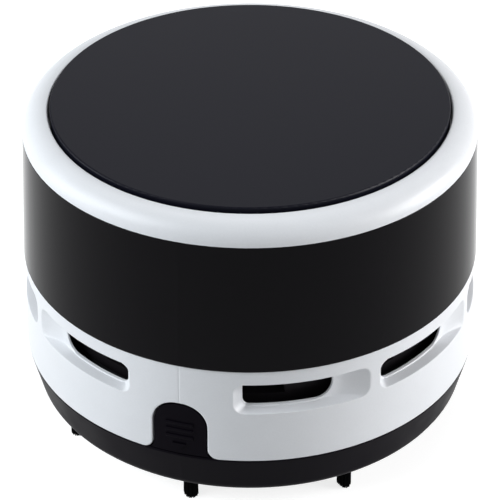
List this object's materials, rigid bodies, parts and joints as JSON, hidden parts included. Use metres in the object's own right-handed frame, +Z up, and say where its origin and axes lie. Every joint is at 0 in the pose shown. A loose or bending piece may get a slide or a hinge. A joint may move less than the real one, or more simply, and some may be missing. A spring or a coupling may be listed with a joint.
{
  "type": "desktop mini vacuum cleaner",
  "caption": "Round battery-powered desktop vacuum cleaner with brush tufts, push-release dust tray, side air vents, fan and motor, and a lift-off lid over the cells.",
  "frame": {"origin": "centre of the footprint, on the surface that the brush tufts stand on", "axes": "+Z up through the lid; -Y towards the push tab at the front; +X to the right of the tab seen from the front"},
  "size_m": [0.087, 0.0871, 0.0642],
  "materials": {
    "tray_black": "satin",
    "bristle_black": "nylon bristle",
    "shell_white": "semi-gloss, fine texture",
    "band_gloss_black": "high gloss",
    "lid_satin_black": "satin",
    "inner_grey": "matt",
    "inner_dark": "matt",
    "filter_plastic": "matt",
    "filter_fabric": "non-woven",
    "fan_white": "matt",
    "motor_steel": "zinc plated",
    "motor_nylon": "matt",
    "magnet_ferrite": "matt",
    "winding_copper": "enamelled wire over laminations",
    "shaft_steel": "ground",
    "contact_nickel": "nickel plated",
    "cell_wrap": "printed shrink film, no print",
    "switch_black": "matt",
    "knob_black": "satin",
    "lead_red": "pvc",
    "lead_black": "pvc",
    "screw_steel": "zinc plated"
  },
  "bodies": {
    "tray": {"dust_tray": "tray_black", "brush_tufts": "bristle_black"},
    "tab": {"release_tab": "tray_black"},
    "housing": {"lower_housing": "shell_white", "band_sleeve": "band_gloss_black", "top_ring": "shell_white", "motor_chassis": "inner_grey", "fan_housing": "inner_dark", "filter_frame": "filter_plastic", "filter_cloth": "filter_fabric", "motor_can": "motor_steel", "motor_end_cap": "motor_nylon", "motor_magnets": "magnet_ferrite", "motor_terminals": "contact_nickel", "battery_left": "cell_wrap", "battery_right": "cell_wrap", "contact_bridge": "contact_nickel", "contact_rear_left": "contact_nickel", "contact_rear_right": "contact_nickel", "spring_front": "contact_nickel", "spring_rear": "contact_nickel", "switch_body": "switch_black", "switch_lugs": "contact_nickel", "lead_motor_cell": "lead_red", "lead_motor_switch": "lead_black", "lead_switch_cell": "lead_black", "chassis_screws": "screw_steel", "fan_screws": "screw_steel"},
    "fan": {"impeller": "fan_white", "motor_shaft": "shaft_steel", "motor_armature": "winding_copper"},
    "lid": {"battery_lid": "lid_satin_black"},
    "switch": {"switch_stem": "switch_black", "switch_knob": "knob_black"}
  },
  "joints": [
    {"name": "housing_lift", "type": "slide", "parent": "tray", "child": "housing", "axis": [0, 0, 1], "range_m": [0, 0.03]},
    {"name": "lid_lift", "type": "slide", "parent": "housing", "child": "lid", "axis": [0, 0, 1], "range_m": [0, 0.025]},
    {"name": "fan_spin", "type": "hinge", "parent": "housing", "child": "fan", "pos_m": [0, 0, 0.0283], "axis": [0, 0, 1], "continuous": true},
    {"name": "switch_slide", "type": "slide", "parent": "housing", "child": "switch", "axis": [1, 0, 0], "range_m": [0, 0.004]},
    {"name": "tab_press", "type": "hinge", "parent": "tray", "child": "tab", "pos_m": [0, -0.04196, 0.013], "axis": [-1, 0, 0], "range_deg": [0, 5], "stiffness_Nm_per_rad": 0.3}
  ]
}
